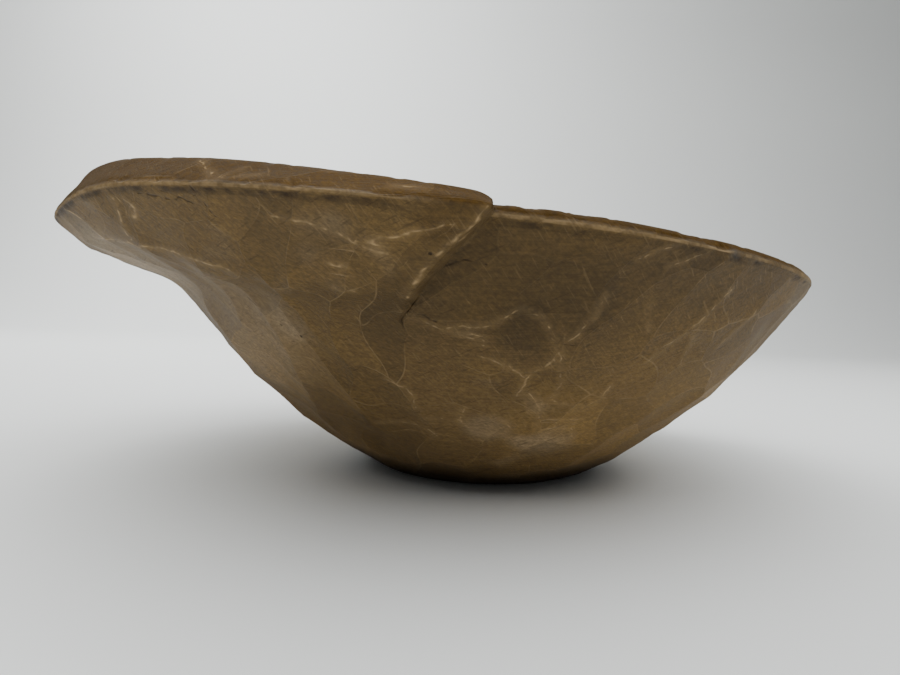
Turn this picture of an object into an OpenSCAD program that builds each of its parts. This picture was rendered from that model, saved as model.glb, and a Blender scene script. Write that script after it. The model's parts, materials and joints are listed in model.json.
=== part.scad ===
// Carved wooden bowl with an overhanging ledge along one side.
// It is hewn from a single block. The origin is the centre of the foot, on the surface that
// the bowl stands on. The ledge reaches out along -X and the thin rim along +X.

/* [Bowl] */
// Outer radius of the round bowl at its rim
rim_r = 178; // [130:1:230]
// Height of the rim's outer edge beside the foot's centre
rim_h = 121; // [90:1:160]
// How far the rim has dropped at the thin end
rim_drop = 17; // [0:1:25]
// How far the belly swells out from a straight line between foot and rim
belly_swell = 12; // [4:0.5:22]
// How far the belly sits off the foot's centre, toward the ledge
belly_lean = 1; // [0:0.5:8]

/* [Foot] */
// Radius of the flat that the bowl stands on
foot_flat_r = 56; // [35:1:60]
// Width of the rounded edge between that flat and the belly
foot_edge_w = 8; // [3:0.5:12]
// Height of the rounded edge of the foot
foot_edge_h = 3; // [2:0.5:8]

/* [Thin rim] */
// Thickness of the wall at the rim
rim_w = 13; // [9:0.5:20]
// Width of the cut corner along the rim's outer edge
rim_bevel = 4.3; // [2:0.1:6]

/* [Hollow] */
// Thickness of the wood under the hollow
floor_t = 16; // [10:1:24]
// Radius of the flat at the bottom of the hollow
floor_r = 50; // [25:1:54]

/* [Ledge] */
// How far the ledge stands out past the bowl's rim at its far tip
ledge_tip = 48; // [20:1:65]
// How far the ledge stands out past the bowl's rim at its two ends
ledge_side = 19; // [8:1:25]
// Plan angle from the thin end round to each end of the ledge
ledge_start = 92; // [80:0.5:110]
// How far the ledge's edge climbs from its ends toward the tip
ledge_rise = 14.5; // [0:0.5:25]
// How far the ledge's edge nods down again at the very tip
ledge_nod = 10; // [0:0.5:15]
// Share of that nod that the top of the sloping band follows
band_nod = 0.25; // [0:0.05:1]
// Height of the sloping band above the ledge's edge, at the tip
band_h = 15; // [8:0.5:18]
// Height of the same band at the ledge's two ends
band_end_h = 6.5; // [4:0.5:8]
// Inward width of the sloping band
band_in = 14; // [8:0.5:18]
// Drop of the face below the ledge's edge, along its flanks
face_side_h = 28; // [15:1:31]
// How far that face leans in below, along its flanks
face_side_in = 24; // [12:1:30]
// Drop of the same face at the tip, where it is blunt
face_tip_h = 11; // [6:0.5:18]
// How far it leans in at the tip
face_tip_in = 12.5; // [6:0.5:20]
// Depth below the edge where the ledge grows out of the belly, at its ends
root_depth_side = 36; // [33:1:42]
// The same depth at the tip
root_depth_tip = 28; // [22:1:42]
// How far the ledge's top falls toward the hollow at the tip
shelf_fall = 13; // [2:1:16]
// How far the ledge's top is dished below a straight slope at the tip
shelf_dish = 4; // [0:0.5:8]

/* [Shoulder] */
// Turn of the shoulder line for each millimetre down, in degrees
shoulder_slant = 0.33; // [0:0.01:0.45]
// Share of the full ledge that is left at its rounded end
shoulder_start = 0.78; // [0.5:0.01:1]
// Plan angle over which that rounded end grows to the full ledge
shoulder_round = 7; // [3:0.5:12]

/* [Hidden] */
wood = "#7d6440";
// Radius where the foot turns up into the belly
foot_r = foot_flat_r + foot_edge_w;
// Where the foot's rounded edge bends most, as shares of its width and height
foot_bend = [0.7, 0.3];
// Share of the rim's drop that is spread over the whole round: the rest is on the thin half
drop_spread = 0.7;
// Plan angles, in degrees, where three changes along the ledge start, and how long each takes:
// toward the tip's root and shelf, toward the blunt face, and into the nod
tip_from = 112;
tip_turn = 60;
blunt_from = 124;
blunt_turn = 28;
nod_from = 130;
nod_turn = 32;
// Number of stations round each part of the bowl, and of rings up each stretch of its wall
thin_steps = 56;
ledge_steps = 60;
belly_rings = 9;
root_rings = 2;
face_rings = 4;
inner_rings = 10;
// Crowding of the rings toward the foot and toward the hollow's rim: 1 is even
ring_crowding = 1.25;
// Gap between the two stations that make the shoulder, in degrees
shoulder_gap = 0.9;
// Plan angle over which the slant of the shoulder dies out round the belly
slant_fade = 42;
// Crowding of the stations toward the two shoulders: 0 is even
crowding = 0.5;
// Width of the rounded lip between the rim and the hollow, and how far it lies below the rim
lip_w = 2;
lip_fall = 1;

function lerp(a, b, t) = a + (b - a) * t;
function clamp01(t) = min(1, max(0, t));
function ease(t) = let (u = clamp01(t)) u * u * (3 - 2 * u);
function crowd(t) = t - crowding * sin(360 * t) / (2 * PI);

// Radius at height z on the arc from low to high that swells out by the given amount
function arc_at(z, low, high, swell) =
    let (
        chord = norm(high - low),
        arc_r = chord * chord / (8 * swell) + swell / 2,
        along = (high - low) / chord,
        centre = (low + high) / 2 + (arc_r - swell) * [-along[1], along[0]]
    )
    centre[0] + sqrt(arc_r * arc_r - pow(z - centre[1], 2));

// A station is [plan angle, is it on the ledge]. The angle runs from one shoulder round the
// thin end to the other shoulder, and back round the ledge.
ledge_sweep = 360 - 2 * ledge_start - 2 * shoulder_gap;
thin_stations = [
    for (i = [0 : thin_steps])
        [lerp(-ledge_start, ledge_start, crowd(i / thin_steps)), false]
];
ledge_stations = [
    for (i = [0 : ledge_steps])
        [ledge_start + shoulder_gap + ledge_sweep * crowd(i / ledge_steps), true]
];
stations = concat(thin_stations, ledge_stations);

// Plan angle folded onto 0 (thin end) to 180 (tip of the ledge)
function fold(a) = a > 180 ? 360 - a : abs(a);
function side_of(a) = a > 180 ? -1 : sign(a);

// Radius of the outer belly and of the hollow at a height
function belly_at(z) = arc_at(z, [foot_r, foot_edge_h], [rim_r, rim_h], belly_swell);
function hollow_at(z) = arc_at(z, [floor_r, floor_t], [rim_r - rim_w, rim_h], belly_swell);

// Outer edge of the ledge in plan, and how much of the ledge a station has
function ledge_plan(a) = let (long = rim_r + ledge_tip, wide = rim_r + ledge_side)
    long * wide / sqrt(pow(wide * cos(a), 2) + pow(long * sin(a), 2));
function ledge_share(a) =
    let (t = clamp01((fold(a) - ledge_start) / shoulder_round))
    lerp(shoulder_start, 1, sqrt(1 - pow(1 - t, 2)));
// Each of these is 0 along the ledge's flanks and 1 at its tip
function tipness(a) = ease((fold(a) - tip_from) / tip_turn);
function bluntness(a) = ease((fold(a) - blunt_from) / blunt_turn);
function nodding(a) = ease((fold(a) - nod_from) / nod_turn);
// Progress along X from the ledge's ends to its tip
function reach(a) = clamp01(-cos(a));

// Height and radius of the outer edge at a station
function rim_edge_h(a) =
    let (thin_half = max(0, cos(a)))
    rim_h - rim_drop * (drop_spread * cos(a) + (1 - drop_spread) * thin_half * thin_half);
function ledge_edge_h(a) = rim_h + ledge_rise * reach(a) - ledge_nod * nodding(a);
function edge_h(s) = s[1] ? ledge_edge_h(s[0]) : rim_edge_h(s[0]);
function edge_r(s) =
    let (plain = belly_at(edge_h(s)))
    s[1] ? lerp(belly_at(rim_h), ledge_plan(s[0]), ledge_share(s[0])) : plain;

// Height where the ledge grows out of the belly
function root_h(s) = edge_h(s) - lerp(root_depth_side, root_depth_tip, s[1] ? tipness(s[0]) : 0);

// Lower corner of the face below the ledge's edge, as [radius, height]
function face_corner(s) =
    let (
        blunt = s[1] ? bluntness(s[0]) : 0,
        z = edge_h(s) - lerp(face_side_h, face_tip_h, blunt)
    )
    s[1] ? [edge_r(s) - lerp(face_side_in, face_tip_in, blunt), z] : [belly_at(z), z];

// Between the root and the edge the thin side keeps to the belly's own curve
function flank(s, from, to, t) =
    let (p = lerp(from, to, t))
    s[1] ? p : [belly_at(p[1]), p[1]];

// Outline of one station as [radius, height], from the foot up and over into the hollow
function outer_outline(s) =
    let (
        root = [belly_at(root_h(s)), root_h(s)],
        corner = face_corner(s),
        edge = [edge_r(s), edge_h(s)]
    )
    concat(
        [[foot_flat_r, 0]],
        [[foot_flat_r + foot_edge_w * foot_bend[0], foot_edge_h * foot_bend[1]]],
        [for (i = [0 : belly_rings])
            let (z = lerp(foot_edge_h, root[1], pow(i / belly_rings, ring_crowding)))
            [belly_at(z), z]],
        [for (i = [1 : root_rings]) flank(s, root, corner, i / root_rings)],
        [for (i = [1 : face_rings]) flank(s, corner, edge, i / face_rings)]
    );

function top_outline(s) =
    let (
        nod_back = (1 - band_nod) * ledge_nod * nodding(s[0]),
        band = lerp(band_end_h, band_h, reach(s[0])) * ledge_share(s[0]) + nod_back,
        rise = s[1] ? band : rim_bevel,
        inset = s[1] ? band_in * ledge_share(s[0]) : rim_bevel,
        tip = s[1] ? tipness(s[0]) : 0,
        fall = lerp(lip_fall, shelf_fall, tip),
        brow = [edge_r(s) - inset, edge_h(s) + rise],
        lip_h = brow[1] - fall,
        lip = [hollow_at(lip_h), lip_h]
    )
    [brow, lerp(brow, lip, 0.5) - [0, shelf_dish * tip], lip + [lip_w, 0], lip - [0, lip_w]];

function hollow_outline(s) =
    let (top = top_outline(s)[3][1])
    [for (i = [1 : inner_rings])
        let (z = lerp(top, floor_t, 1 - pow(1 - i / inner_rings, ring_crowding)))
        [hollow_at(z), z]];

function outline(s) = concat(outer_outline(s), top_outline(s), hollow_outline(s));

// The shoulder line slants, so stations near it turn as they go down
function slant(s, z) =
    let (
        fade = ease(1 - abs(fold(s[0]) - ledge_start) / slant_fade),
        drop = max(0, edge_h(s) - z),
        root_drop = edge_h(s) - root_h(s),
        turn = z > root_h(s) ? drop : root_drop * z / root_h(s)
    )
    side_of(s[0]) * shoulder_slant * turn * fade;

function place(s, p, outside) =
    let (a = s[0] + (outside ? slant(s, p[1]) : 0))
    [p[0] * cos(a) - belly_lean * clamp01(p[1] / floor_t), p[0] * sin(a), p[1]];

// Rings of points around the bowl: foot centre, then each ring, then the hollow's centre
outer_count = 3 + belly_rings + root_rings + face_rings;
ring_count = len(outline(stations[0]));
station_count = len(stations);
skin = concat(
    [[0, 0, 0]],
    [for (k = [0 : ring_count - 1]) for (s = stations) place(s, outline(s)[k], k < outer_count)],
    [[-belly_lean, 0, floor_t]]
);
function at(k, i) = 1 + k * station_count + i % station_count;
around = [for (i = [0 : station_count - 1]) i];
foot_faces = [for (i = around) [0, at(0, i), at(0, i + 1)]];
wall_faces = [
    for (k = [0 : ring_count - 2]) for (i = around)
        each [
            [at(k, i), at(k + 1, i), at(k + 1, i + 1)],
            [at(k, i), at(k + 1, i + 1), at(k, i + 1)]
        ]
];
floor_faces = [
    for (i = around) [at(ring_count - 1, i), len(skin) - 1, at(ring_count - 1, i + 1)]
];

module bowl() {
    color(wood)
        polyhedron(points = skin, faces = concat(foot_faces, wall_faces, floor_faces));
}

bowl();
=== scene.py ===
"""Carved wooden bowl with a ledge: the adzed surface, the wood and the stage that it stands on."""

import json
import math

import bpy
import numpy as np
from bpy.props import FloatProperty, FloatVectorProperty, PointerProperty
from mathutils import Matrix

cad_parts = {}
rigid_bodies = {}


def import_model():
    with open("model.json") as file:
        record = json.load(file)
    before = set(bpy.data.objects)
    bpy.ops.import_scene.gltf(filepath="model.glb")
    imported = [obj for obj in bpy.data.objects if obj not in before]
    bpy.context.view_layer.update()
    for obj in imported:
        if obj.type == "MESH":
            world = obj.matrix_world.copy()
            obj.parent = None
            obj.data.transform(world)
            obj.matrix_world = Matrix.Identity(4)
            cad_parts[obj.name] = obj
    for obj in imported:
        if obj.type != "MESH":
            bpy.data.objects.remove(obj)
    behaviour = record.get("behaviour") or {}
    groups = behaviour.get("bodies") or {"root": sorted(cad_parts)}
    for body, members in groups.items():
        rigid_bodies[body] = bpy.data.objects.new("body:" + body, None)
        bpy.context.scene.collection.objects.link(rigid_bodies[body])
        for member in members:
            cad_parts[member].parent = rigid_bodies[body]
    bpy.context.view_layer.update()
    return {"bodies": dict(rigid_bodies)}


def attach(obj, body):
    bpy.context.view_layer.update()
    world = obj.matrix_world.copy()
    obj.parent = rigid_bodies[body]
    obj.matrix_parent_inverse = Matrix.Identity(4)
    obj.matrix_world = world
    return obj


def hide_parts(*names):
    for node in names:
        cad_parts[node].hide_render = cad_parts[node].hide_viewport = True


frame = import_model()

bl_info = {
    "name": "Carved Wooden Bowl",
    "version": (1, 0, 0),
    "blender": (4, 5, 0),
    "location": "View3D > Sidebar > Bowl",
    "description": "An adzed wooden bowl with an overhanging ledge, on a pale studio floor",
    "category": "Object",
}

BODY = next(iter(frame["bodies"]))
CAD_NODE = "bowl"
MM = 0.001


# --- small helpers -------------------------------------------------------------------------


def linear(hex_colour):
    """Linear RGB of an sRGB colour such as '#7d6440'."""
    parts = [int(hex_colour[i : i + 2], 16) / 255 for i in (1, 3, 5)]
    return tuple(p / 12.92 if p <= 0.04045 else ((p + 0.055) / 1.055) ** 2.4 for p in parts)


def add(tree, kind, links=None, **settings):
    """Adds a node, sets its own settings, and links or sets its inputs by name or number."""
    node = tree.nodes.new(kind)
    for name, value in settings.items():
        setattr(node, name, value)
    for name, value in (links or {}).items():
        socket = node.inputs[name]
        if isinstance(value, bpy.types.NodeSocket):
            tree.links.new(value, socket)
        else:
            socket.default_value = value
    return node


def lerp(low, high, share):
    return low + (high - low) * share


def ease(share):
    """0 to 1 with a soft start and end."""
    share = np.clip(share, 0, 1)
    return share * share * (3 - 2 * share)


def length(name, default, description):
    """A size in metres that a user may change."""
    return FloatProperty(name=name, default=default, description=description, min=0, unit="LENGTH")


def share(name, default, description):
    """A proportion from 0 to 1 that a user may change."""
    return FloatProperty(
        name=name, default=default, description=description, min=0, max=1, subtype="FACTOR"
    )


def angle(name, degrees, description):
    """An angle that a user may change."""
    return FloatProperty(
        name=name, default=math.radians(degrees), description=description, subtype="ANGLE"
    )


def colour(name, hex_colour, description):
    """A colour that a user may change."""
    return FloatVectorProperty(
        name=name,
        default=linear(hex_colour),
        description=description,
        subtype="COLOR",
        min=0,
        max=1,
    )


# --- sizes and colours -----------------------------------------------------------------------


class BowlSizes(bpy.types.PropertyGroup):
    """Sizes of the carved bowl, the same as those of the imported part."""

    rim_radius: length("Rim radius", 0.178, "Outer radius of the round bowl at its rim")
    rim_height: length("Rim height", 0.121, "Height of the rim's outer edge beside the foot")
    rim_drop: length("Rim drop", 0.017, "How far the rim has dropped at the thin end")
    belly_swell: length("Belly swell", 0.012, "How far the belly swells out from a straight line")
    belly_lean: length("Belly lean", 0.001, "How far the belly sits off the foot's centre")
    foot_radius: length("Foot radius", 0.056, "Radius of the flat that the bowl stands on")
    foot_edge_width: length("Foot edge width", 0.008, "Width of the foot's rounded edge")
    foot_edge_height: length("Foot edge height", 0.003, "Height of the foot's rounded edge")
    rim_width: length("Rim width", 0.013, "Thickness of the wall at the rim")
    rim_bevel: length("Rim bevel", 0.0043, "Cut corner along the rim's outer edge")
    floor_thickness: length("Floor thickness", 0.016, "Thickness of the wood under the hollow")
    floor_radius: length("Floor radius", 0.050, "Radius of the flat at the bottom of the hollow")
    ledge_start: angle("Ledge start", 92, "Plan angle from the thin end to each end of the ledge")
    ledge_tip: length("Ledge tip", 0.048, "How far the ledge stands out at its far tip")
    ledge_side: length("Ledge side", 0.019, "How far the ledge stands out at its two ends")
    ledge_rise: length("Ledge rise", 0.0145, "How far the ledge's edge climbs toward its tip")
    ledge_nod: length("Ledge nod", 0.010, "How far the ledge's edge comes down at the very tip")
    band_nod: share("Band nod", 0.25, "Share of that nod that the top of the band follows")
    band_height: length("Band height", 0.015, "Height of the sloping band at the tip")
    band_end_height: length("Band end height", 0.0065, "Height of the band at the ledge's ends")
    band_width: length("Band width", 0.014, "Inward width of the sloping band")
    face_side_drop: length("Face side drop", 0.028, "Height of the face below the ledge's flanks")
    face_side_lean: length("Face side lean", 0.024, "How far that face leans in at the flanks")
    face_tip_drop: length("Face tip drop", 0.011, "Height of the same face at the blunt tip")
    face_tip_lean: length("Face tip lean", 0.0125, "How far that face leans in at the tip")
    root_side_depth: length("Root side depth", 0.036, "Depth of the ledge's root at its ends")
    root_tip_depth: length("Root tip depth", 0.028, "Depth of the ledge's root at the tip")
    shelf_fall: length("Shelf fall", 0.013, "How far the ledge's top falls toward the hollow")
    shelf_dish: length("Shelf dish", 0.004, "How far the ledge's top is dished")
    shoulder_slant: FloatProperty(
        name="Shoulder slant",
        default=330,
        description="Turn of the shoulder line in degrees for each metre down",
    )
    shoulder_start: share("Shoulder start", 0.78, "Share of the ledge left at its rounded end")
    shoulder_round: angle("Shoulder round", 7, "Plan angle over which that end grows")
    cut_length: length("Adze cut length", 0.027, "Length of one adze cut across the belly")
    cut_depth: length("Adze cut depth", 0.0028, "How deep one full adze cut would be")
    wobble: length("Wobble", 0.0011, "How far the hand-cut surface wanders from its true curve")
    chip_depth: length("Chip depth", 0.0008, "Depth of the chips along worn edges")


class WoodFinish(bpy.types.PropertyGroup):
    """Colours of the wood, and how far its surface shines."""

    heart: colour("Heart", "#7f653b", "The golden brown of handled wood")
    shade: colour("Shade", "#695434", "The darker brown of the belly and of soaked wood")
    # Also painted on as the reflection of the pale floor under the ledge's tip and down its flank
    oiled: colour("Oiled", "#45300a", "Wood along the top, dark and golden from oil and hands")
    dry_and_reflection: colour("Dry", "#a08f77", "Greyish wood that has dried out")
    ridge: colour("Ridge", "#b0946a", "Pale wood where the ridges have rubbed")
    # Besides dark scratches and holes, this colour paints shade round the foot and darkens the wood
    # just under the outer edges
    grime_and_shade: colour("Grime", "#2c1f10", "Dirt that has settled under edges and round the foot")
    stain: colour("Stain", "#3d4348", "The small bluish stain under the thin rim")
    roughness: share("Roughness", 0.62, "Roughness of the worn surface")


class StageSettings(bpy.types.PropertyGroup):
    """The floor, the lights and the camera."""

    floor: colour("Floor", "#e6e7e4", "Colour of the pale floor and of the wall behind it")
    key_power: FloatProperty(
        name="Key power", default=33, min=0, description="Power of the soft overhead lamp in watts"
    )
    wall_power: FloatProperty(
        name="Wall power", default=35, min=0, description="Power of the lamp on the wall in watts"
    )
    sky_strength: FloatProperty(
        name="Sky strength", default=0.19, min=0, description="Strength of the even light all round"
    )
    lens: FloatProperty(
        name="Lens", default=27, min=1, description="Focal length of the camera in millimetres"
    )


# --- the shape of the bowl ---------------------------------------------------------------------

# Stations round the bowl: the thin side, each of the two shoulders, and the ledge. Their sum
# is a multiple of four, because the rings near the middle keep every second or fourth one.
THIN_STATIONS = 368
SHOULDER_STATIONS = 12
LEDGE_STATIONS = 368
STATION_CROWDING = 0.3
SHOULDER_GAP = 0.3
SLANT_FADE = 42
DROP_SPREAD = 0.7
TIP_FROM, TIP_TURN = 112, 60
BLUNT_FROM, BLUNT_TURN = 124, 28
NOD_FROM, NOD_TURN = 130, 32
LIP_FALL = 1 * MM
# Plan angles over which the ledge's top rounds down to its nose, and its edge goes blunt there
NOSE_TURN = 2.2
SOFT_TURN = 12
# Share of the ledge's band that is left at its nose
NOSE_SHARE = 0.55
# Radii of the worn corners
FOOT_ROUND = 3 * MM
ROOT_ROUND = 12 * MM
CORNER_ROUND = 4 * MM
ARRIS_ROUND = 1.5 * MM
SOFT_ARRIS_ROUND = 9 * MM
BROW_ROUND = 3.2 * MM
LIP_ROUND = 2.6 * MM
FLOOR_ROUND = 18 * MM
# Height where the rings take half of the stations
COARSE_BELOW = 45 * MM
# Size of one adze cut on the band (around, across), on the shelf and in the hollow
BAND_CUT = (34 * MM, 26 * MM)
SHELF_CUT = 30 * MM
HOLLOW_CUT = 34 * MM
# Where each of these lies in the pattern of cuts, so that none repeats another
BAND_PART, SHELF_PART, HOLLOW_PART = 40, 80, 120


def cos_of(degrees):
    return np.cos(np.radians(degrees))


def sin_of(degrees):
    return np.sin(np.radians(degrees))


def fold(degrees):
    """Plan angle folded onto 0 at the thin end to 180 at the ledge's tip."""
    return np.where(degrees > 180, 360 - degrees, np.abs(degrees))


def arc_radius(height, low, high, swell):
    """Radius at a height on the arc from low to high, each (radius, height), that swells out."""
    low, high = np.array(low), np.array(high)
    chord = np.linalg.norm(high - low)
    arc = chord * chord / (8 * swell) + swell / 2
    along = (high - low) / chord
    centre = (low + high) / 2 + (arc - swell) * np.array([-along[1], along[0]])
    return centre[0] + np.sqrt(arc * arc - (height - centre[1]) ** 2)


def belly_radius(sizes, height):
    foot = (sizes.foot_radius + sizes.foot_edge_width, sizes.foot_edge_height)
    return arc_radius(height, foot, (sizes.rim_radius, sizes.rim_height), sizes.belly_swell)


def hollow_radius(sizes, height):
    floor = (sizes.floor_radius, sizes.floor_thickness)
    rim = (sizes.rim_radius - sizes.rim_width, sizes.rim_height)
    return arc_radius(height, floor, rim, sizes.belly_swell)


def crowded(count, start, end):
    """Angles from start up to, and without, end that crowd toward both."""
    t = np.arange(count) / count
    return lerp(start, end, t - STATION_CROWDING * np.sin(2 * math.pi * t) / (2 * math.pi))


def stations(sizes):
    """Plan angle of each station in degrees, and its share of the ledge's outline."""
    start = math.degrees(sizes.ledge_start)
    ledge_start = start + SHOULDER_GAP
    step = np.arange(SHOULDER_STATIONS) / SHOULDER_STATIONS
    degrees = [
        crowded(THIN_STATIONS, -start, start),
        lerp(start, ledge_start, step),
        crowded(LEDGE_STATIONS, ledge_start, 360 - ledge_start),
        lerp(360 - ledge_start, 360 - start, step),
    ]
    shares = [np.zeros(THIN_STATIONS), ease(step), np.ones(LEDGE_STATIONS), 1 - ease(step)]
    return np.concatenate(degrees), np.concatenate(shares)


def point(radius, height):
    """(radius, height) at every station."""
    return np.stack(np.broadcast_arrays(radius, height), axis=-1)


def toward(start, goal, distance):
    """The point at a distance from start toward goal, and at most two fifths of the way."""
    gap = np.linalg.norm(goal - start, axis=-1, keepdims=True)
    return start + (goal - start) * np.minimum(distance / np.maximum(gap, 1e-9), 0.4)


def run(start, end, count):
    """Points on the straight line from start up to, and without, end."""
    t = (np.arange(count) / count)[:, None, None]
    return lerp(start, end, t)


def bend(start, corner, end, count):
    """Points round a corner, from start up to, and without, end."""
    t = (np.arange(count) / count)[:, None, None]
    return (1 - t) ** 2 * start + 2 * t * (1 - t) * corner + t * t * end


def rise(radius_at, low, high, count):
    """Points up a curved wall from height low up to, and without, high."""
    t = (np.arange(count) / count)[:, None]
    height = lerp(low, high, t)
    return np.stack([radius_at(height), height], axis=-1)


def edge_line(sizes, degrees, on_ledge):
    """The outer edge, the edge of the top behind it, and the rest of one outline."""
    reach = np.clip(-cos_of(degrees), 0, 1)
    tip = ease((fold(degrees) - TIP_FROM) / TIP_TURN) * on_ledge
    blunt = ease((fold(degrees) - BLUNT_FROM) / BLUNT_TURN)
    nod = ease((fold(degrees) - NOD_FROM) / NOD_TURN)
    if on_ledge:
        long = sizes.rim_radius + sizes.ledge_tip
        wide = sizes.rim_radius + sizes.ledge_side
        plan = long * wide / np.hypot(wide * cos_of(degrees), long * sin_of(degrees))
        past_start = fold(degrees) - math.degrees(sizes.ledge_start)
        left = 1 - np.clip(past_start / math.degrees(sizes.shoulder_round), 0, 1)
        ledge = lerp(sizes.shoulder_start, 1, np.sqrt(1 - left * left))
        height = sizes.rim_height + sizes.ledge_rise * reach - sizes.ledge_nod * nod
        radius = lerp(belly_radius(sizes, sizes.rim_height), plan, ledge)
        inset = sizes.band_width * ledge
        band = lerp(sizes.band_end_height, sizes.band_height, reach) * ledge
        band = band + (1 - sizes.band_nod) * sizes.ledge_nod * nod
        nose = 1 - np.clip(past_start / NOSE_TURN, 0, 1)
        band = band * lerp(NOSE_SHARE, 1, np.sqrt(1 - nose * nose))
        arris = lerp(SOFT_ARRIS_ROUND, ARRIS_ROUND, ease(past_start / SOFT_TURN))
        drop = lerp(sizes.face_side_drop, sizes.face_tip_drop, blunt)
        lean = lerp(sizes.face_side_lean, sizes.face_tip_lean, blunt)
        corner = point(radius - lean, height - drop)
    else:
        thin_half = np.clip(cos_of(degrees), 0, 1)
        fall = DROP_SPREAD * cos_of(degrees) + (1 - DROP_SPREAD) * thin_half**2
        height = sizes.rim_height - sizes.rim_drop * fall
        radius = belly_radius(sizes, height)
        inset = band = sizes.rim_bevel
        arris = ARRIS_ROUND + 0 * degrees
        low = height - sizes.face_side_drop
        corner = point(belly_radius(sizes, low), low)
    root_height = height - lerp(sizes.root_side_depth, sizes.root_tip_depth, tip)
    brow = point(radius - inset, height + band)
    lip_height = brow[..., 1] - lerp(LIP_FALL, sizes.shelf_fall, tip)
    return {
        "edge": point(radius, height),
        "corner": corner,
        "root": point(belly_radius(sizes, root_height), root_height),
        "brow": brow,
        "lip": point(hollow_radius(sizes, lip_height), lip_height),
        "dish": sizes.shelf_dish * tip,
        "arris": arris[:, None],
    }


# Each stretch of the outline: its name, how many rings it has, and which stations they keep
STRETCHES = (
    ("foot", 5, 4),
    ("foot_edge", 5, 2),
    ("low_belly", 26, 2),
    ("belly", 24, 1),
    ("root", 6, 1),
    ("under", 11, 1),
    ("corner", 5, 1),
    ("face", 12, 1),
    ("arris", 6, 1),
    ("band", 7, 1),
    ("brow", 6, 1),
    ("shelf", 9, 1),
    ("lip", 5, 1),
    ("wall", 36, 2),
    ("floor_edge", 8, 2),
    ("floor", 5, 4),
)
RINGS = dict((name, count) for name, count, keep in STRETCHES)


def outline(sizes, degrees, on_ledge):
    """All rings of one kind of outline, as {stretch: points[ring, station, (radius, height)]}."""
    line = edge_line(sizes, degrees, on_ledge)
    edge, corner, root, brow, lip = (line[k] for k in ("edge", "corner", "root", "brow", "lip"))
    foot_in = point(sizes.foot_radius - FOOT_ROUND, np.zeros_like(degrees))
    foot_out = point(sizes.foot_radius + FOOT_ROUND, np.zeros_like(degrees))
    foot_top = point(
        sizes.foot_radius + sizes.foot_edge_width, sizes.foot_edge_height + 0 * degrees
    )
    root_low = root[:, 1] - 0.7 * ROOT_ROUND
    root_in = point(belly_radius(sizes, root_low), root_low)
    root_out = toward(root, corner, ROOT_ROUND)
    corner_in, corner_out = toward(corner, root, CORNER_ROUND), toward(corner, edge, CORNER_ROUND)
    edge_in = toward(edge, corner, line["arris"])
    edge_out = toward(edge, brow, line["arris"])
    brow_in, brow_out = toward(brow, edge, BROW_ROUND), toward(brow, lip, BROW_ROUND)
    lip_in = toward(lip, brow, LIP_ROUND)
    lip_low = lip[:, 1] - LIP_ROUND
    lip_out = point(hollow_radius(sizes, lip_low), lip_low)
    turn_height = sizes.floor_thickness + 0.6 * FLOOR_ROUND + 0 * degrees
    turn_top = point(hollow_radius(sizes, turn_height), turn_height)
    turn_corner = point(sizes.floor_radius, sizes.floor_thickness + 0 * degrees)
    floor_out = point(sizes.floor_radius - FLOOR_ROUND, sizes.floor_thickness + 0 * degrees)
    middle = np.array([0.0, 0.0])
    shelf = run(brow_out, lip_in, RINGS["shelf"])
    across = (np.arange(RINGS["shelf"]) / RINGS["shelf"])[:, None]
    shelf[..., 1] -= 4 * across * (1 - across) * line["dish"]
    foot = run(middle, foot_in, RINGS["foot"])[1:]
    floor = run(floor_out, middle + [0, sizes.floor_thickness], RINGS["floor"])
    return {
        "foot": foot,
        "foot_edge": bend(foot_in, foot_out, foot_top, RINGS["foot_edge"]),
        "low_belly": rise(
            lambda z: belly_radius(sizes, z), foot_top[:, 1], COARSE_BELOW, RINGS["low_belly"]
        ),
        "belly": rise(lambda z: belly_radius(sizes, z), COARSE_BELOW, root_low, RINGS["belly"]),
        "root": bend(root_in, root, root_out, RINGS["root"]),
        "under": run(root_out, corner_in, RINGS["under"]),
        "corner": bend(corner_in, corner, corner_out, RINGS["corner"]),
        "face": run(corner_out, edge_in, RINGS["face"]),
        "arris": bend(edge_in, edge, edge_out, RINGS["arris"]),
        "band": run(edge_out, brow_in, RINGS["band"]),
        "brow": bend(brow_in, brow, brow_out, RINGS["brow"]),
        "shelf": shelf,
        "lip": bend(lip_in, lip, lip_out, RINGS["lip"]),
        "wall": rise(lambda z: hollow_radius(sizes, z), lip_low, turn_height, RINGS["wall"]),
        "floor_edge": bend(turn_top, turn_corner, floor_out, RINGS["floor_edge"]),
        "floor": floor,
    }


def slanted(sizes, degrees, height, edge_height, root_height):
    """Plan angles at a height, turned so that the shoulder line slants."""
    start = math.degrees(sizes.ledge_start)
    fade = ease(1 - np.abs(fold(degrees) - start) / SLANT_FADE)
    drop = np.maximum(0, edge_height - height)
    low = (edge_height - root_height) * height / root_height
    turn = np.where(height > root_height, drop, low)
    side = np.where(degrees > 180, -1, np.sign(degrees))
    return degrees + side * sizes.shoulder_slant * turn * fade


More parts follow.
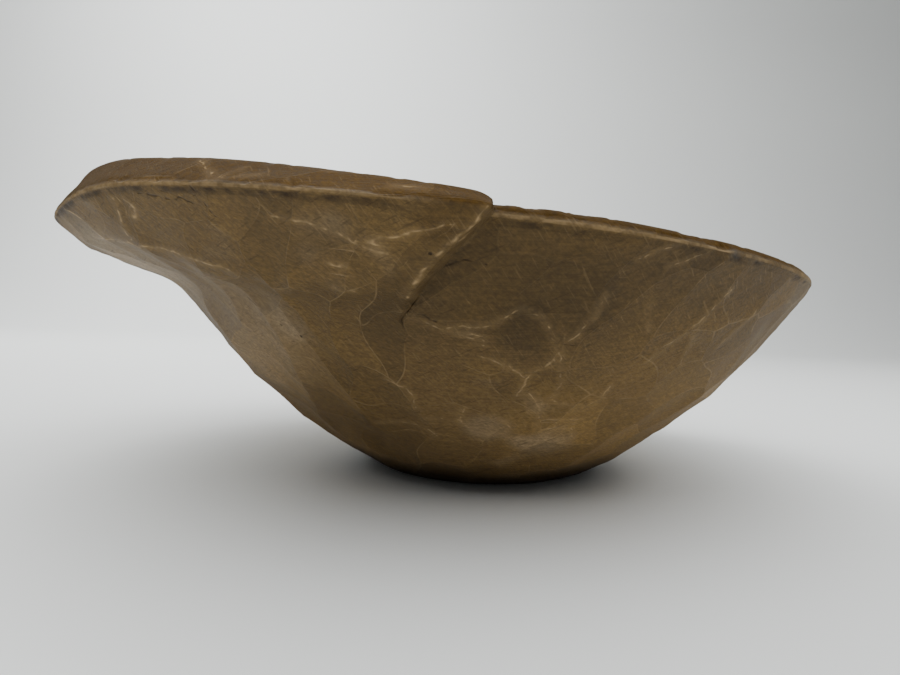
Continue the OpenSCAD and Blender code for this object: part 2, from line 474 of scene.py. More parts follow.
def bowl_rings(sizes):
    """Every ring of the bowl, from the foot's middle out, up, over and down to the floor."""
    degrees, shares = stations(sizes)
    thin = outline(sizes, degrees, False)
    ledge = outline(sizes, degrees, True)
    thin_line = edge_line(sizes, degrees, False)
    ledge_line = edge_line(sizes, degrees, True)
    edge_height = lerp(thin_line["edge"], ledge_line["edge"], shares[:, None])[:, 1]
    root_height = lerp(thin_line["root"], ledge_line["root"], shares[:, None])[:, 1]
    rings = []
    inside = False
    for name, count, keep in STRETCHES:
        points = lerp(thin[name], ledge[name], shares[None, :, None])
        inside = inside or name == "shelf"
        for ring in points:
            turned = degrees
            if not inside:
                turned = slanted(sizes, degrees, ring[:, 1], edge_height, root_height)
            lean = sizes.belly_lean * np.clip(ring[:, 1] / sizes.floor_thickness, 0, 1)
            place = np.stack(
                [ring[:, 0] * cos_of(turned) - lean, ring[:, 0] * sin_of(turned), ring[:, 1]],
                axis=-1,
            )
            rings.append({"stretch": name, "keep": keep, "place": place, "profile": ring})
    return degrees, shares, rings


def strip_faces(lower, upper):
    """Faces between two rings of vertex numbers, of which one may have half the stations."""
    faces = []
    if len(lower) == len(upper):
        for i in range(len(lower)):
            j = (i + 1) % len(lower)
            faces.append((lower[i], lower[j], upper[j], upper[i]))
        return faces
    flip = len(lower) > len(upper)
    few, many = (upper, lower) if flip else (lower, upper)
    for i in range(len(few)):
        j = (i + 1) % len(few)
        a, b, c = many[2 * i], many[2 * i + 1], many[(2 * i + 2) % len(many)]
        for face in ((few[i], b, a), (few[i], few[j], b), (few[j], c, b)):
            faces.append(face[::-1] if flip else face)
    return faces


# Marks on the near side, as (plan angle in degrees, height in millimetres). Each is a smooth
# line through its points. The first list is ridges and cracks that have rubbed pale, and the
# second is dark scratches and splits.
PALE_MARKS = (
    ((-114, 119), (-110, 116), (-107, 112), (-103, 107)),
    ((-105, 111), (-101, 113), (-97, 116)),
    ((-135, 127), (-136, 121), (-138, 115)),
    ((-148, 126), (-146, 120), (-146, 115)),
    ((-133, 126), (-132, 123), (-134, 120)),
    ((-151, 115), (-145, 114), (-141, 112), (-135, 110), (-130, 107), (-124, 102)),
    ((-103, 88), (-98, 82), (-93, 79)),
    ((-98, 83), (-92, 85), (-90, 89), (-88, 91), (-86, 89), (-83, 80)),
    ((-81, 80), (-79, 88), (-78, 98)),
    ((-93, 73), (-89, 69), (-86, 64), (-86, 61), (-87, 56)),
    ((-86, 65), (-83, 71), (-82, 76)),
    ((-82, 75), (-80, 62), (-81, 55)),
    ((-109, 61), (-106, 58), (-105, 49)),
    ((-96, 50), (-97, 43), (-93, 37), (-88, 37), (-86, 41), (-90, 46)),
    ((-104, 44), (-98, 43)),
    ((-116, 39), (-106, 40), (-103, 35)),
    ((-85, 57), (-82, 50), (-82, 43)),
    ((-81, 46), (-73, 45)),
    ((-81, 42), (-73, 40), (-72, 35)),
    ((-80, 54), (-73, 52), (-71, 61)),
    ((-67, 72), (-65, 79), (-61, 90), (-59, 101)),
    ((-71, 108), (-66, 113)),
    ((-75, 110), (-71, 115)),
    ((-59, 71), (-61, 83)),
    ((-53, 78), (-50, 94)),
    ((-71, 93), (-70, 85)),
    ((-119, 129), (-124, 138)),
    ((-119, 129), (-118, 134)),
    ((-120, 129), (-115, 131)),
    ((-102, 128), (-99, 127)),
    ((-110, 104), (-108, 103)),
    ((-110, 96), (-108, 95)),
    ((-93, 122), (-95, 115), (-99, 104), (-102, 94)),
)
DARK_MARKS = (
    ((-130, 127), (-125, 124)),
    ((-127, 128), (-123, 123)),
    ((-122, 128), (-121, 119)),
    ((-83, 78), (-79, 79)),
    ((-98, 104), (-96, 107), (-93, 106)),
    ((-129, 92), (-125, 81)),
    ((-104, 90), (-98, 84)),
)
# Length that the surface runs for each unit of height, on average
SURFACE_SLOPE = 1.4
# Spacing of the points along a mark, in degrees and millimetres alike
MARK_STEP = 2.5
# Distance given to a point that no mark is near
FAR_OFF = 1.0


def smooth_line(points, step):
    """Points about a step apart on a smooth curve through the given ones, and each one's end."""
    points = np.array(points, float)
    padded = np.vstack([2 * points[0] - points[1], points, 2 * points[-1] - points[-2]])
    starts, ends = [], []
    for a, b, c, d in zip(padded, padded[1:], padded[2:], padded[3:]):
        count = max(1, int(np.linalg.norm(c - b) / step))
        t = np.linspace(0, 1, count + 1)[:, None]
        curve = 0.5 * (
            2 * b
            + (c - a) * t
            + (2 * a - 5 * b + 4 * c - d) * t**2
            + (3 * b - a - 3 * c + d) * t**3
        )
        starts.append(curve[:-1])
        ends.append(curve[1:])
    return np.vstack(starts), np.vstack(ends)


def reach_to_marks(place, marks):
    """For every point on the outside, the flat vector to the nearest mark, in metres."""
    radius = np.hypot(place[:, 0], place[:, 1])
    degrees = np.degrees(np.arctan2(place[:, 1], place[:, 0]))
    parts = [smooth_line(mark, MARK_STEP) for mark in marks]
    starts = np.vstack([a for a, b in parts])
    ends = np.vstack([b for a, b in parts])
    found = np.full((len(place), 3), FAR_OFF)
    near = np.flatnonzero((degrees < starts[:, 0].max() + 6) & (place[:, 2] > 20 * MM))
    for some in np.array_split(near, max(1, len(near) // 4000)):
        size = np.stack([np.radians(radius[some]), np.full(len(some), SURFACE_SLOPE * MM)], axis=-1)
        here = np.stack([degrees[some], place[some, 2] / MM], axis=-1)[:, None, :]
        to_start = (starts[None] - here) * size[:, None, :]
        along = (ends - starts)[None] * size[:, None, :]
        t = -(to_start * along).sum(-1) / np.maximum((along * along).sum(-1), 1e-12)
        gap = to_start + np.clip(t, 0, 1)[..., None] * along
        best = np.argmin((gap * gap).sum(-1), axis=1)
        found[some, :2] = gap[np.arange(len(some)), best]
        found[some, 2] = 0
    return found


def wavy(cell):
    """Bends the straight net of adze cuts, so that the ridges between them curve."""
    u, v = cell[:, 0], cell[:, 1]
    return np.stack(
        [
            u + 0.20 * np.sin(1.9 * v + 0.7) + 0.11 * np.sin(4.3 * v + 1.1 * u),
            v + 0.20 * np.sin(1.7 * u + 2.1) + 0.11 * np.sin(3.9 * u - 1.3 * v),
            np.zeros(len(cell)),
        ],
        axis=-1,
    )


def bowl_mesh(sizes):
    """The bowl before any adze cut, with the marks that the cutting and the wood need.

    Each point has its place in the pattern of cuts (adze) and their depth (cut), its distance
    past the outer edge and past the brow and how crisp that edge is (edges), the reach to the
    nearest marks (pale, dark), how far it is worn (wear) and whether it is on the ledge's face.
    """
    degrees, shares, rings = bowl_rings(sizes)
    names = [ring["stretch"] for ring in rings]
    first = {name: names.index(name) for name in RINGS}
    steps = [
        np.linalg.norm(b["profile"] - a["profile"], axis=-1) for a, b in zip(rings, rings[1:])
    ]
    walked = np.concatenate([rings[0]["profile"][None, :, 0], steps]).cumsum(axis=0)
    edge_at = walked[first["arris"] + RINGS["arris"] // 2]
    brow_at = walked[first["brow"] + RINGS["brow"] // 2]
    lip_at = walked[first["lip"] + RINGS["lip"] // 2]
    floor_at = walked[-1] + rings[-1]["profile"][:, 0]
    corner_at = walked[first["corner"] + RINGS["corner"] // 2]
    past_start = fold(degrees) - math.degrees(sizes.ledge_start)
    crisp = 1 - shares * (1 - ease((past_start - 3) / SOFT_TURN))
    columns = {"place": [], "adze": [], "cut": [], "edges": [], "wear": [], "face": []}
    numbers, total = [], 0
    for ring, at in zip(rings, walked):
        keep = slice(None, None, ring["keep"])
        region = ring["stretch"]
        if region in ("arris", "band", "brow"):
            around = np.radians(degrees) * sizes.rim_radius
            cell = point(around / BAND_CUT[0], (at - edge_at) / BAND_CUT[1] + BAND_PART)
            depth = 0.5 * ease((at - edge_at) / (4 * MM)) * ease((brow_at - at) / (4 * MM))
        elif region in ("shelf", "lip"):
            cell = ring["place"][:, :2] / SHELF_CUT + SHELF_PART
            depth = 0.6 * ease((at - brow_at) / (4 * MM)) * ease((lip_at - at) / (4 * MM))
        elif region in ("wall", "floor_edge", "floor"):
            out = floor_at - at
            cell = point(out * cos_of(degrees), out * sin_of(degrees)) / HOLLOW_CUT
            cell = cell + HOLLOW_PART
            depth = 1.1 * ease((at - lip_at) / (6 * MM)) * ease(out / (30 * MM))
        else:
            cell = point(at * cos_of(degrees), at * sin_of(degrees)) / sizes.cut_length
            depth = ease((edge_at - at) / (5 * MM)) * ease((at - sizes.foot_radius) / (14 * MM))
        near_edge = np.exp(-(((at - edge_at) / (3 * MM)) ** 2))
        near_brow = np.exp(-(((at - brow_at) / (4 * MM)) ** 2))
        on_face = shares * ease((at - corner_at) / (8 * MM) + 0.5) * (at < edge_at)
        columns["place"].append(ring["place"][keep])
        columns["adze"].append(wavy(cell)[keep])
        columns["cut"].append((depth * (1 - 0.55 * on_face))[keep])
        columns["edges"].append(np.stack([at - edge_at, at - brow_at, crisp], -1)[keep])
        columns["wear"].append((near_edge + 0.6 * near_brow)[keep])
        columns["face"].append(on_face[keep])
        count = len(ring["place"][keep])
        numbers.append(list(range(total, total + count)))
        total += count
    faces = []
    for low, high in zip(numbers, numbers[1:]):
        faces += strip_faces(low, high)
    ends = [(0.0, 0.0, 0.0), (-sizes.belly_lean, 0.0, sizes.floor_thickness)]
    stations_left = len(numbers[0])
    for i in range(stations_left):
        j = (i + 1) % stations_left
        faces.append((total, numbers[0][j], numbers[0][i]))
        faces.append((numbers[-1][i], numbers[-1][j], total + 1))
    data = {name: np.concatenate(parts) for name, parts in columns.items()}
    outside = (data["edges"][:, 1] < 4 * MM)[:, None]
    data["pale"] = np.where(outside, reach_to_marks(data["place"], PALE_MARKS), FAR_OFF)
    data["dark"] = np.where(outside, reach_to_marks(data["place"], DARK_MARKS), FAR_OFF)
    mesh = bpy.data.meshes.new("carved_bowl")
    mesh.from_pydata(np.concatenate([data["place"], ends]).tolist(), [], faces)
    mesh.update()
    for name in ("adze", "edges", "pale", "dark", "cut", "wear", "face"):
        kind = "FLOAT_VECTOR" if data[name].ndim == 2 else "FLOAT"
        filler = data[name][[0, -1]] if name != "cut" else np.zeros(2)
        values = np.concatenate([data[name], filler]).astype(np.float32)
        attribute = mesh.attributes.new(name, kind, "POINT")
        attribute.data.foreach_set("vector" if kind == "FLOAT_VECTOR" else "value", values.ravel())
    return mesh


def carving_nodes(sizes):
    """Nodes that cut the adze marks into the surface, let it wander and chip its edges."""
    tree = bpy.data.node_groups.new("adze_carving", "GeometryNodeTree")
    tree.interface.new_socket("Geometry", in_out="INPUT", socket_type="NodeSocketGeometry")
    tree.interface.new_socket("Geometry", in_out="OUTPUT", socket_type="NodeSocketGeometry")
    start = add(tree, "NodeGroupInput")
    adze = add(tree, "GeometryNodeInputNamedAttribute", {"Name": "adze"}, data_type="FLOAT_VECTOR")
    cut = add(tree, "GeometryNodeInputNamedAttribute", {"Name": "cut"}, data_type="FLOAT")
    wear = add(tree, "GeometryNodeInputNamedAttribute", {"Name": "wear"}, data_type="FLOAT")
    pale = add(tree, "GeometryNodeInputNamedAttribute", {"Name": "pale"}, data_type="FLOAT_VECTOR")
    normal = add(tree, "GeometryNodeInputNormal")
    place = add(tree, "GeometryNodeInputPosition")
    cell = add(
        tree,
        "ShaderNodeTexVoronoi",
        {"Vector": adze.outputs[0], "Scale": 1.0, "Randomness": 0.9},
        voronoi_dimensions="2D",
    )
    bowl_of_cut = add(
        tree, "ShaderNodeMath", {0: cell.outputs["Distance"], 1: 2.0}, operation="POWER"
    )
    centred = add(tree, "ShaderNodeMath", {0: bowl_of_cut.outputs[0], 1: 0.2}, operation="SUBTRACT")
    facets = centred
    for factor in (cut.outputs[0], sizes.cut_depth):
        facets = add(
            tree, "ShaderNodeMath", {0: facets.outputs[0], 1: factor}, operation="MULTIPLY"
        )
    wander = add(
        tree,
        "ShaderNodeTexNoise",
        {"Vector": place.outputs[0], "Scale": 1 / (75 * MM), "Detail": 2.0, "Roughness": 0.45},
    )
    wandering = add(
        tree,
        "ShaderNodeMath",
        {0: wander.outputs[0], 1: 2 * sizes.wobble, 2: -sizes.wobble},
        operation="MULTIPLY_ADD",
    )
    split = add(tree, "ShaderNodeSeparateXYZ", {0: place.outputs[0]})
    off_ground = add(
        tree,
        "ShaderNodeMapRange",
        {"Value": split.outputs["Z"], "From Min": 1 * MM, "From Max": 14 * MM},
        interpolation_type="SMOOTHSTEP",
    )
    wandering = add(
        tree,
        "ShaderNodeMath",
        {0: wandering.outputs[0], 1: off_ground.outputs[0]},
        operation="MULTIPLY",
    )
    chips = add(
        tree,
        "ShaderNodeTexNoise",
        {"Vector": place.outputs[0], "Scale": 1 / (9 * MM), "Detail": 3.0, "Roughness": 0.6},
    )
    chipped = add(
        tree,
        "ShaderNodeMapRange",
        {
            "Value": chips.outputs[0],
            "From Min": 0.5,
            "From Max": 0.68,
            "To Min": 0.0,
            "To Max": -sizes.chip_depth,
        },
        interpolation_type="SMOOTHSTEP",
    )
    chipped = add(
        tree, "ShaderNodeMath", {0: chipped.outputs[0], 1: wear.outputs[0]}, operation="MULTIPLY"
    )
    to_mark = add(tree, "ShaderNodeVectorMath", {0: pale.outputs[0]}, operation="LENGTH")
    mark_ridge = add(
        tree,
        "ShaderNodeMapRange",
        {"Value": to_mark.outputs["Value"], "From Max": 4 * MM, "To Min": 0.35 * MM, "To Max": 0.0},
        interpolation_type="SMOOTHSTEP",
    )
    height = facets
    for part in (wandering, mark_ridge, chipped):
        height = add(tree, "ShaderNodeMath", {0: height.outputs[0], 1: part.outputs[0]})
    shift = add(
        tree,
        "ShaderNodeVectorMath",
        {0: normal.outputs[0], "Scale": height.outputs[0]},
        operation="SCALE",
    )
    moved = add(
        tree,
        "GeometryNodeSetPosition",
        {"Geometry": start.outputs[0], "Offset": shift.outputs[0]},
    )
    smooth = add(tree, "GeometryNodeSetShadeSmooth", {"Geometry": moved.outputs[0]})
    add(tree, "NodeGroupOutput", {0: smooth.outputs[0]})
    return tree


def carved(piece, sizes):
    """Cuts the adze marks into the piece's own mesh."""
    modifier = piece.modifiers.new("adze", "NODES")
    modifier.node_group = carving_nodes(sizes)
    depsgraph = bpy.context.evaluated_depsgraph_get()
    cut = bpy.data.meshes.new_from_object(piece.evaluated_get(depsgraph), depsgraph=depsgraph)
    piece.modifiers.clear()
    uncut = piece.data
    piece.data = cut
    bpy.data.meshes.remove(uncut)
    cut.name = "carved_bowl"


# --- the wood ------------------------------------------------------------------------------------


def wood_material(finish):
    """Adzed hardwood, handled for years.

    It has a low sheen and a fine mottle of pores and scratches. The ridges between the cuts are
    rubbed pale and the top is dark with oil. The wood is darker just under the outer edges, and
    painted shade darkens it round the foot.
    """
    material = bpy.data.materials.new("adzed_hardwood")
    material.use_nodes = True
    tree = material.node_tree
    tree.nodes.clear()
    heart, shade, oiled, dry_and_reflection, ridge_tone, grime_and_shade, stain = (
        (*getattr(finish, name), 1)
        for name in ("heart", "shade", "oiled", "dry_and_reflection", "ridge", "grime_and_shade", "stain")
    )
    place = add(tree, "ShaderNodeTexCoord").outputs["Object"]
    spot = add(tree, "ShaderNodeSeparateXYZ", {0: place})
    mark = {
        name: add(tree, "ShaderNodeAttribute", attribute_name=name)
        for name in ("adze", "cut", "face", "edges", "pale", "dark")
    }
    edge = add(tree, "ShaderNodeSeparateXYZ", {0: mark["edges"].outputs["Vector"]})
    past_edge = edge.outputs["X"]

    # Fibres run along the bowl's length, 35 mm long and about a millimetre apart. Scraper
    # scratches cross them at a slant, 11 mm long and 0.5 mm apart. Longer scores lie at two
    # more slants: they are 0.2 mm wide on such a bowl, and drawn 0.8 mm wide so that they show.
    stretched = {}
    for name, slant, millimetres in (
        ("along", 0, (35, 0.9, 0.9)),
        ("slanting", -38, (11, 3, 0.5)),
        ("falling", -52, (18, 6, 0.8)),
        ("climbing", 24, (16, 6, 0.8)),
    ):
        turned = add(
            tree,
            "ShaderNodeVectorRotate",
            {"Vector": place, "Axis": (0, 1, 0), "Angle": math.radians(slant)},
            rotation_type="AXIS_ANGLE",
        )
        stretched[name] = add(
            tree,
            "ShaderNodeVectorMath",
            {0: turned.outputs[0], 1: [1 / (size * MM) for size in millimetres]},
            operation="MULTIPLY",
        ).outputs[0]
    # Noise: its vector, the size of its blotches in that vector's unit, detail and roughness
    noise = {}
    for name, vector, size, detail, roughness in (
        ("patches", place, 80 * MM, 3, 0.55),
        ("dryness", place, 38 * MM, 2, 0.55),
        ("fibres", stretched["along"], 1, 4, 0.65),
        ("scratches", stretched["slanting"], 1, 3, 0.7),
        ("pale_scores", stretched["falling"], 1, 1, 0.5),
        ("dark_scores", stretched["climbing"], 1, 1, 0.5),
        ("mottle", place, 1.7 * MM, 4, 0.7),
        ("rubbing", place, 14 * MM, 3, 0.6),
        ("breaks", place, 7 * MM, 3, 0.7),
        ("rim_wear", place, 9 * MM, 3, 0.6),
        ("dark_breaks", place, 11 * MM, 4, 0.65),
        ("shake", place, 7 * MM, 2, 0.5),
    ):
        noise[name] = add(
            tree,
            "ShaderNodeTexNoise",
            {"Vector": vector, "Scale": 1 / size, "Detail": detail, "Roughness": roughness},
        )

    # The adze cuts, and the net of ridges between them
    cell, net = (
        add(
            tree,
            "ShaderNodeTexVoronoi",
            {"Vector": mark["adze"].outputs["Vector"], "Scale": 1.0, "Randomness": 0.9},
            voronoi_dimensions="2D",
            feature=feature,
        )
        for feature in ("F1", "DISTANCE_TO_EDGE")
    )
    # Each adze cut gets a painted shade, lighter or darker, in place of the light that it catches
    cut_shade = add(tree, "ShaderNodeSeparateColor", {0: cell.outputs["Color"]}).outputs[0]
    holes = add(
        tree, "ShaderNodeTexVoronoi", {"Vector": place, "Scale": 1 / (24 * MM), "Randomness": 1.0}
    )
    golden = add(
        tree,
        "ShaderNodeMath",
        {0: mark["face"].outputs["Fac"], 1: 0.1, 2: noise["patches"].outputs[0]},
        operation="MULTIPLY_ADD",
    )

    # Distance to the marks that lie in given places: their lines are shaken a little
    off_centre = add(
        tree,
        "ShaderNodeVectorMath",
        {0: noise["shake"].outputs["Color"], 1: (0.5, 0.5, 0.5)},
        operation="SUBTRACT",
    )
    shake = add(
        tree,
        "ShaderNodeVectorMath",
        {0: off_centre.outputs[0], "Scale": 4 * MM},
        operation="SCALE",
    )
    to_mark = {}
    for name in ("pale", "dark"):
        shaken = add(
            tree,
            "ShaderNodeVectorMath",
            {0: mark[name].outputs["Vector"], 1: shake.outputs[0]},
            operation="ADD",
        )
        to_mark[name] = add(
            tree, "ShaderNodeVectorMath", {0: shaken.outputs[0]}, operation="LENGTH"
        ).outputs["Value"]

    # Distance to the patches on the near side: the painted shadow in the corner beside the
    # shoulder, the painted shade on the belly's low left under the ledge, the painted reflection of
    # the pale floor under the ledge's tip and down its flank, a painted shade in one adze scoop and
    # a pale oval on the belly, the golden oval at the ledge's end, and the stain
    to_patch = {}
    for name, middle in (
        ("corner", (12 * MM, -166 * MM, 104 * MM)),
        ("low_left_shade", (-62 * MM, -98 * MM, 48 * MM)),
        ("under_tip_reflection", (-165 * MM, -92 * MM, 100 * MM)),
        ("flank", (-106 * MM, -106 * MM, 75 * MM)),
        ("scoop_shade", (7 * MM, -155 * MM, 85 * MM)),
        ("oval", (-3 * MM, -112 * MM, 43 * MM)),
        ("thumb", (-21 * MM, -189 * MM, 118 * MM)),
        ("stain", (84 * MM, -155 * MM, 114 * MM)),
    ):
        to_patch[name] = add(
            tree, "ShaderNodeVectorMath", {0: place, 1: middle}, operation="DISTANCE"
        ).outputs["Value"]

    # Where each change of colour lies: a value, turned softly from low to high into start to end
    mask = {
        "cut": mark["cut"].outputs["Fac"],
        "face": mark["face"].outputs["Fac"],
        "crisp": edge.outputs["Z"],
    }
    for name, value, low, high, start, end in (
        ("golden", golden.outputs[0], 0.38, 0.66, 0, 1),
        ("dried", noise["dryness"].outputs[0], 0.55, 0.75, 0, 0.35),
        # Darker toward the top: a little over half as light at the rim as low on the belly
        ("darker_upward", spot.outputs["Z"], 38 * MM, 98 * MM, 1, 0.56),
        ("on_top", past_edge, 0.3 * MM, 2 * MM, 0, 0.9),
        # Painted shadow: darker beside the shoulder, where the ledge shades the wood
        ("corner", to_patch["corner"], 12 * MM, 52 * MM, 0.72, 1),
        # Painted shade on the belly's low left, under the ledge
        ("low_left_shade", to_patch["low_left_shade"], 12 * MM, 55 * MM, 0.68, 1),
        # Painted reflection of the pale floor on the ledge's underside and down its left flank
        ("under_tip_reflection", to_patch["under_tip_reflection"], 15 * MM, 42 * MM, 0.5, 0),
        ("flank", to_patch["flank"], 15 * MM, 50 * MM, 0.22, 0),
        # Painted shade in one adze scoop right of the shoulder
        ("scoop_shade", to_patch["scoop_shade"], 9 * MM, 13 * MM, 0.85, 1),
        ("oval", to_patch["oval"], 6 * MM, 15 * MM, 0.22, 0),
        # The pale ridges fade out in the painted shadow beside the shoulder
        ("off_shoulder_shadow", to_patch["corner"], 30 * MM, 65 * MM, 0.15, 1),
        ("thumb", to_patch["thumb"], 6 * MM, 15 * MM, 0.35, 0),
        ("stain", to_patch["stain"], 2 * MM, 6 * MM, 0.9, 0),
        ("fibres", noise["fibres"].outputs[0], 0.28, 0.72, 0.86, 1.14),
        ("scratches", noise["scratches"].outputs[0], 0.3, 0.74, 0.88, 1.15),
        ("mottle", noise["mottle"].outputs[0], 0.3, 0.72, 0.78, 1.22),
        ("pale_scores", noise["pale_scores"].outputs[0], 0.62, 0.76, 0, 0.1),
        ("dark_scores", noise["dark_scores"].outputs[0], 0.62, 0.76, 0, 0.35),
        # Painted shade of each adze cut
        ("cut_shade", cut_shade, 0, 1, 0.87, 1.13),
        ("ridge", net.outputs["Distance"], 0.004, 0.022, 1, 0),
        ("rubbed", noise["rubbing"].outputs[0], 0.42, 0.62, 0, 0.22),
        ("pale_line", to_mark["pale"], 0.05 * MM, 0.6 * MM, 1, 0),
        ("pale_haze", to_mark["pale"], 0.3 * MM, 3 * MM, 0.18, 0),
        ("wide_line", to_mark["pale"], 0.15 * MM, 0.95 * MM, 1, 0),
        ("on_face", mark["face"].outputs["Fac"], 0.2, 0.8, 0, 0.55),
        ("unbroken", noise["breaks"].outputs[0], 0.25, 0.62, 0.15, 0.6),
        ("dark_line", to_mark["dark"], 0.15 * MM, 0.7 * MM, 0.75, 0),
        ("below_edge", past_edge, -1 * MM, -0.4 * MM, 0, 1),
        ("above_edge", past_edge, 0.1 * MM, 0.9 * MM, 1, 0),
        ("worn", noise["rim_wear"].outputs[0], 0.4, 0.62, 0.1, 0.42),
        # The wood is darker just under the outer edge, broken up in patches
        ("under_edge", past_edge, -5 * MM, -2 * MM, 0, 1),
        ("off_edge", past_edge, -1.6 * MM, -0.9 * MM, 1, 0),
        ("broken_dark", noise["dark_breaks"].outputs[0], 0.36, 0.6, 0, 0.85),
        ("broken_dark_rim", noise["dark_breaks"].outputs[0], 0.5, 0.64, 0, 0.8),
        ("thin_side", spot.outputs["X"], -10 * MM, 10 * MM, 0, 1),
        # Painted shade round the foot, where it meets the floor
        ("foot", spot.outputs["Z"], 2 * MM, 22 * MM, 0.95, 0),
        ("wormhole", holes.outputs["Distance"], 0.022, 0.034, 0.8, 0),
    ):
        mask[name] = add(
            tree,
            "ShaderNodeMapRange",
            {"Value": value, "From Min": low, "From Max": high, "To Min": start, "To Max": end},
            interpolation_type="SMOOTHSTEP",
        ).outputs[0]

    # Layers, each a colour and the masks for where it lies. Without a colour the masks make
    # the wood lighter or darker.
    tone = shade
    for over, *where in (
        (heart, "golden"),
        (dry_and_reflection, "dried"),
        # Darker toward the top
        (None, "darker_upward"),
        # Painted reflection of the pale floor under the ledge's tip and down its flank
        (dry_and_reflection, "under_tip_reflection"),
        (dry_and_reflection, "flank"),
        # Painted shade on the belly's low left, under the ledge
        (None, "low_left_shade"),
        # Painted shade in one adze scoop right of the shoulder
        (None, "scoop_shade"),
        (dry_and_reflection, "oval"),
        (oiled, "on_top"),
        (oiled, "thumb"),
        # Painted shadow beside the shoulder
        (None, "corner"),
        (None, "fibres"),
        (None, "scratches"),
        (None, "mottle"),
        (ridge_tone, "pale_scores"),
        (grime_and_shade, "dark_scores"),
        # Painted shade of each adze cut
        (None, "cut_shade"),
        (ridge_tone, "ridge", "rubbed", "cut", "off_shoulder_shadow"),
        (ridge_tone, "pale_line", "unbroken"),
        (ridge_tone, "pale_haze", "unbroken"),
        (ridge_tone, "wide_line", "unbroken", "on_face"),
        (grime_and_shade, "dark_line"),
        (ridge_tone, "below_edge", "above_edge", "worn", "crisp"),
        # Darker just under the outer edge, broken up in patches, on the ledge and on the thin side
        (grime_and_shade, "under_edge", "off_edge", "broken_dark", "face", "crisp"),
        (grime_and_shade, "under_edge", "off_edge", "broken_dark_rim", "thin_side"),
        (stain, "stain", "unbroken"),
        # Painted shade round the foot, where it meets the floor
        (grime_and_shade, "foot"),
        (grime_and_shade, "wormhole"),
    ):
        much = mask[where[0]]
        for name in where[1:]:
            much = add(
                tree, "ShaderNodeMath", {0: much, 1: mask[name]}, operation="MULTIPLY"
            ).outputs[0]
        if over is None:
            tone = add(
                tree, "ShaderNodeVectorMath", {0: tone, "Scale": much}, operation="SCALE"
            ).outputs[0]
        else:
            tone = add(
                tree, "ShaderNodeMix", {0: much, 6: tone, 7: over}, data_type="RGBA"
            ).outputs[2]

    # Pores make the sheen uneven, and the oily top reflects least
    rough, sheen = (
        add(
            tree,
            "ShaderNodeMapRange",
            {"Value": value, "From Min": low, "From Max": high, "To Min": start, "To Max": end},
        ).outputs[0]
        for value, low, high, start, end in (
            (noise["mottle"].outputs[0], 0.2, 0.8, finish.roughness - 0.1, finish.roughness + 0.12),
            (past_edge, 0.3 * MM, 2 * MM, 0.2, 0.04),
        )
    )
    # What stands up or lies low in the fine relief, and how far
    relief = 0.0
    for part, height in (
        (noise["fibres"].outputs[0], 0.6),
        (noise["scratches"].outputs[0], 0.5),
        (noise["mottle"].outputs[0], 0.6),
        (mask["ridge"], 0.25),
        (mask["pale_line"], 0.6),
        (mask["dark_line"], -1.0),
        (mask["wormhole"], -2.0),
    ):
        relief = add(
            tree, "ShaderNodeMath", {0: part, 1: height, 2: relief}, operation="MULTIPLY_ADD"
        ).outputs[0]
    bump = add(
        tree, "ShaderNodeBump", {"Strength": 0.9, "Distance": 0.4 * MM, "Height": relief}
    )
    shader = add(
        tree,
        "ShaderNodeBsdfPrincipled",
        {
            "Base Color": tone,
            "Roughness": rough,
            "IOR": 1.5,
            "Specular IOR Level": sheen,
            "Normal": bump.outputs[0],
        },
    )
    add(tree, "ShaderNodeOutputMaterial", {"Surface": shader.outputs[0]})
    return material


def backdrop_material(stage):
    """Matt white board, sprayed: an even pale surface with hardly any shine."""
    material = bpy.data.materials.new("matt_white_board")
    material.use_nodes = True
    shader = material.node_tree.nodes["Principled BSDF"]
    shader.inputs["Base Color"].default_value = (*stage.floor, 1)
    shader.inputs["Roughness"].default_value = 0.6
    return material


# --- operators -----------------------------------------------------------------------------------


class CRAFT_OT_carve_bowl(bpy.types.Operator):
    """Build the bowl, cut its adze marks and give it its wood"""

    bl_idname = "craft.carve_bowl"
    bl_label = "Carve the Bowl"

    def execute(self, context):
        sizes, finish = context.scene.bowl_sizes, context.scene.wood_finish
        piece = bpy.data.objects.new("carved_bowl", bowl_mesh(sizes))
        context.scene.collection.objects.link(piece)
        carved(piece, sizes)
        if not piece.data.polygons:
            raise RuntimeError("the carved bowl has no faces")
        piece.data.materials.clear()
        piece.data.materials.append(wood_material(finish))
        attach(piece, BODY)
        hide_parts(CAD_NODE)
        return {"FINISHED"}


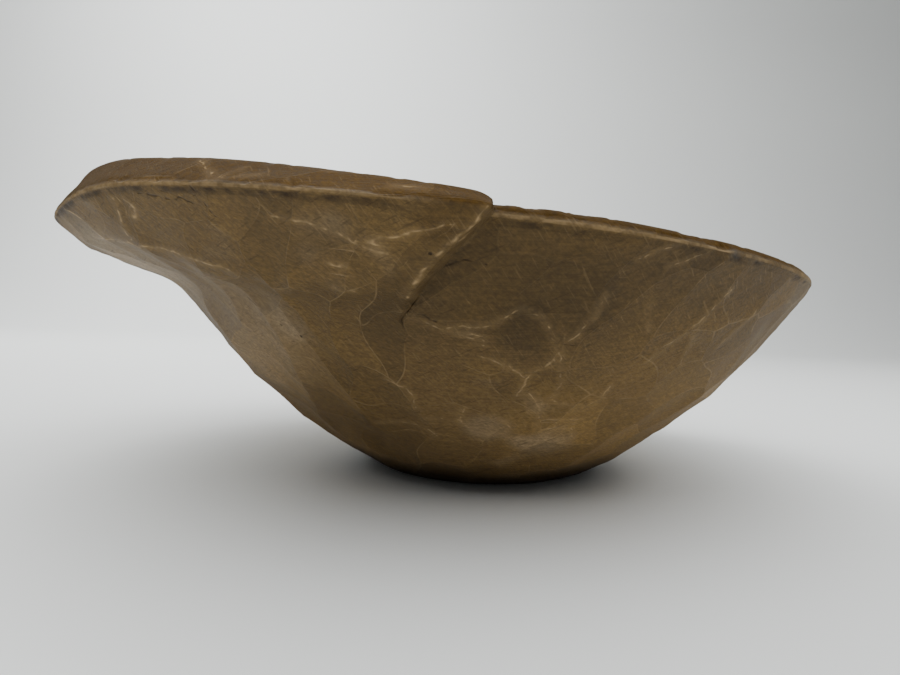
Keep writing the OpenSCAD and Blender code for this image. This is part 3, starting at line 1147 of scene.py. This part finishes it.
class CRAFT_OT_set_stage(bpy.types.Operator):
    """Lay the pale floor that curves up into a wall, and set the lights and the camera"""

    bl_idname = "craft.set_stage"
    bl_label = "Set the Stage"

    def execute(self, context):
        stage = context.scene.stage_settings
        self.lay_floor(context, stage)
        self.hang_lights(context, stage)
        self.place_camera(context, stage)
        return {"FINISHED"}

    def lay_floor(self, context, stage):
        """Lays a floor that curves up into a wall behind the bowl."""
        front, bend_start, radius, top, half = -1.6, 1.1, 0.7, 2.6, 2.4
        turns = np.radians(np.linspace(0, 90, 25))
        curve = [(bend_start + radius * math.sin(t), radius * (1 - math.cos(t))) for t in turns]
        line = [(front, 0.0), *curve, (bend_start + radius, top)]
        points = [(x, y, z) for y, z in line for x in (-half, half)]
        faces = [(2 * i, 2 * i + 1, 2 * i + 3, 2 * i + 2) for i in range(len(line) - 1)]
        mesh = bpy.data.meshes.new("floor")
        mesh.from_pydata(points, [], faces)
        mesh.shade_smooth()
        mesh.materials.append(backdrop_material(stage))
        floor = bpy.data.objects.new("floor", mesh)
        context.scene.collection.objects.link(floor)

    def hang_lights(self, context, stage):
        """Hangs each lamp by its size, power, place and turn, in an even sky."""
        lamps = (
            ("overhead_softbox", (2.2, 1.8), stage.key_power, (0.0, -0.30, 1.00), (0, 0, 0)),
            ("wall_softbox", (1.2, 1.0), stage.wall_power, (-0.70, 0.70, 1.25), (55, 0, -20)),
        )
        for name, size, power, place, turn in lamps:
            lamp = bpy.data.lights.new(name, "AREA")
            lamp.shape = "RECTANGLE"
            lamp.size, lamp.size_y = size
            lamp.energy = power
            lamp.color = linear("#fbfdff")
            softbox = bpy.data.objects.new(name, lamp)
            softbox.location = place
            softbox.rotation_euler = [math.radians(t) for t in turn]
            context.scene.collection.objects.link(softbox)
        world = bpy.data.worlds.new("even_sky")
        world.use_nodes = True
        sky = world.node_tree.nodes["Background"]
        sky.inputs["Color"].default_value = (*linear("#f4f7fa"), 1)
        sky.inputs["Strength"].default_value = stage.sky_strength
        context.scene.world = world

    def place_camera(self, context, stage):
        """Stands the camera low in front, tipped down and rolled a little."""
        camera = bpy.data.cameras.new("camera")
        camera.lens = stage.lens
        camera.sensor_width = 36
        camera.clip_start = 0.01
        eye = bpy.data.objects.new("camera", camera)
        pitch, roll = math.radians(90 - 2.98), math.radians(2.08)
        spot = (-0.020, -0.398, 0.0924)
        eye.matrix_world = (
            Matrix.Translation(spot)
            @ Matrix.Rotation(pitch, 4, "X")
            @ Matrix.Rotation(roll, 4, "Z")
        )
        context.scene.collection.objects.link(eye)
        context.scene.camera = eye


class CRAFT_PT_bowl(bpy.types.Panel):
    """The steps that build the bowl and its stage"""

    bl_idname = "CRAFT_PT_bowl"
    bl_label = "Carved Bowl"
    bl_space_type = "VIEW_3D"
    bl_region_type = "UI"
    bl_category = "Bowl"

    def draw(self, context):
        for step in STEPS:
            self.layout.operator(step)


STEPS = ("craft.carve_bowl", "craft.set_stage")
CLASSES = (
    BowlSizes,
    WoodFinish,
    StageSettings,
    CRAFT_OT_carve_bowl,
    CRAFT_OT_set_stage,
    CRAFT_PT_bowl,
)


def register():
    for each in CLASSES:
        bpy.utils.register_class(each)
    bpy.types.Scene.bowl_sizes = PointerProperty(type=BowlSizes)
    bpy.types.Scene.wood_finish = PointerProperty(type=WoodFinish)
    bpy.types.Scene.stage_settings = PointerProperty(type=StageSettings)


def unregister():
    del bpy.types.Scene.stage_settings
    del bpy.types.Scene.wood_finish
    del bpy.types.Scene.bowl_sizes
    for each in reversed(CLASSES):
        bpy.utils.unregister_class(each)


def main():
    """Runs every step in order."""
    register()
    bpy.ops.craft.carve_bowl()
    bpy.ops.craft.set_stage()


if __name__ == "__main__":
    main()
